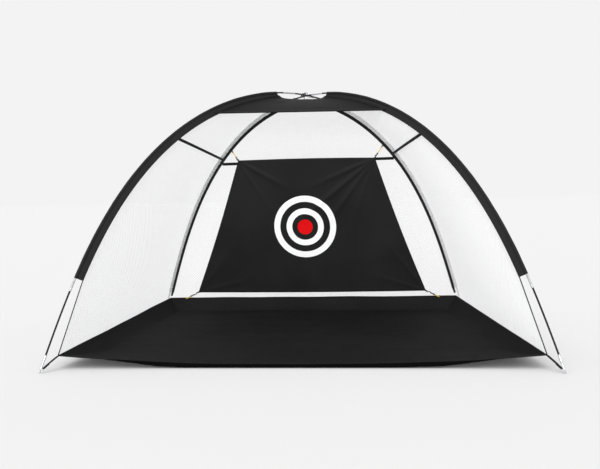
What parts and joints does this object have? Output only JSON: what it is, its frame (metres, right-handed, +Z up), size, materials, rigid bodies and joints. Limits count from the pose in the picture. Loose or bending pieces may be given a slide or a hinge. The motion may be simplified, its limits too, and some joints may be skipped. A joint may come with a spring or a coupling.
{
  "type": "golf chipping net",
  "caption": "Dome-tent golf practice net: two crossed bent poles in fabric sleeves carry net walls, a ground sheet and a hung bullseye target.",
  "frame": {"origin": "on the ground, under the middle of the overall box", "axes": "+X to the right seen from the open front, +Y from the open front to the rear net, +Z up"},
  "size_m": [3.0132, 1.962, 1.7636],
  "materials": {
    "fibreglass": "satin black pultruded fibreglass with bright steel ferrules",
    "steel": "bright zinc-plated steel",
    "oxford_cloth": "black coated Oxford weave",
    "netting": "white knotless netting",
    "webbing": "black woven webbing and binding",
    "ground_sheet": "black coated Oxford weave, softly creased",
    "target_cloth": "black polyester with a printed white and red bullseye",
    "yellow_elastic": "yellow braided elastic",
    "hook_plastic": "moulded black nylon",
    "shock_cord": "white braided elastic"
  },
  "bodies": {
    "root": {"pole_a_section_01": "fibreglass", "pole_a_section_02": "fibreglass", "pole_a_section_03": "fibreglass", "pole_a_section_04": "fibreglass", "pole_a_section_05": "fibreglass", "pole_a_section_06": "fibreglass", "pole_a_section_07": "fibreglass", "pole_a_section_08": "fibreglass", "pole_a_section_09": "fibreglass", "pole_a_section_10": "fibreglass", "shock_cord_a": "shock_cord", "pole_b_section_01": "fibreglass", "pole_b_section_02": "fibreglass", "pole_b_section_03": "fibreglass", "pole_b_section_04": "fibreglass", "pole_b_section_05": "fibreglass", "pole_b_section_06": "fibreglass", "pole_b_section_07": "fibreglass", "pole_b_section_08": "fibreglass", "pole_b_section_09": "fibreglass", "pole_b_section_10": "fibreglass", "shock_cord_b": "shock_cord", "sleeve_front_left": "oxford_cloth", "sleeve_front_right": "oxford_cloth", "sleeve_rear_left": "oxford_cloth", "sleeve_rear_right": "oxford_cloth", "header_panel": "oxford_cloth", "side_net_left": "netting", "side_net_right": "netting", "rear_net": "netting", "ground_sheet": "ground_sheet", "front_binding_left": "webbing", "side_tape_left": "webbing", "front_binding_right": "webbing", "side_tape_right": "webbing", "rear_tape": "webbing", "foot_pin_front_left": "steel", "corner_strap_front_left": "webbing", "foot_pin_front_right": "steel", "corner_strap_front_right": "webbing", "foot_pin_rear_left": "steel", "corner_strap_rear_left": "webbing", "foot_pin_rear_right": "steel", "corner_strap_rear_right": "webbing", "target_elastic_upper_left": "yellow_elastic", "target_elastic_upper_right": "yellow_elastic", "target_elastic_lower_left": "yellow_elastic", "target_elastic_lower_right": "yellow_elastic", "tie_string_left": "webbing", "tie_string_right": "webbing"},
    "target": {"target_cloth": "target_cloth", "target_hook_upper_left": "hook_plastic", "target_hook_upper_right": "hook_plastic", "target_hook_lower_left": "hook_plastic", "target_hook_lower_right": "hook_plastic"},
    "foot_ring_front_left": {"foot_ring_front_left": "steel"},
    "foot_ring_front_right": {"foot_ring_front_right": "steel"},
    "foot_ring_rear_left": {"foot_ring_rear_left": "steel"},
    "foot_ring_rear_right": {"foot_ring_rear_right": "steel"}
  },
  "joints": [
    {"name": "target_swing", "type": "hinge", "parent": "root", "child": "target", "pos_m": [0, 0.51, 1.271], "axis": [-1, 0, 0], "range_deg": [0, 8], "stiffness_Nm_per_rad": 25, "deforming": ["target_elastic_upper_left", "target_elastic_upper_right", "target_elastic_lower_left", "target_elastic_lower_right"]},
    {"name": "foot_ring_front_left_swing", "type": "hinge", "parent": "root", "child": "foot_ring_front_left", "pos_m": [-1.499, -0.97342, 0.00893], "axis": [0.8504, -0.5262, 0], "range_deg": [-6, 20], "deforming": ["corner_strap_front_left"]},
    {"name": "foot_ring_front_right_swing", "type": "hinge", "parent": "root", "child": "foot_ring_front_right", "pos_m": [1.49899, -0.97341, 0.00893], "axis": [0.8504, 0.5262, 0], "range_deg": [-6, 20], "deforming": ["corner_strap_front_right"]},
    {"name": "foot_ring_rear_left_swing", "type": "hinge", "parent": "root", "child": "foot_ring_rear_left", "pos_m": [-1.28866, 0.97381, 0.00802], "axis": [-0.6488, -0.761, 0], "range_deg": [-6, 20], "deforming": ["corner_strap_rear_left"]},
    {"name": "foot_ring_rear_right_swing", "type": "hinge", "parent": "root", "child": "foot_ring_rear_right", "pos_m": [1.28866, 0.97381, 0.00802], "axis": [-0.6488, 0.761, 0], "range_deg": [-6, 20], "deforming": ["corner_strap_rear_right"]}
  ]
}
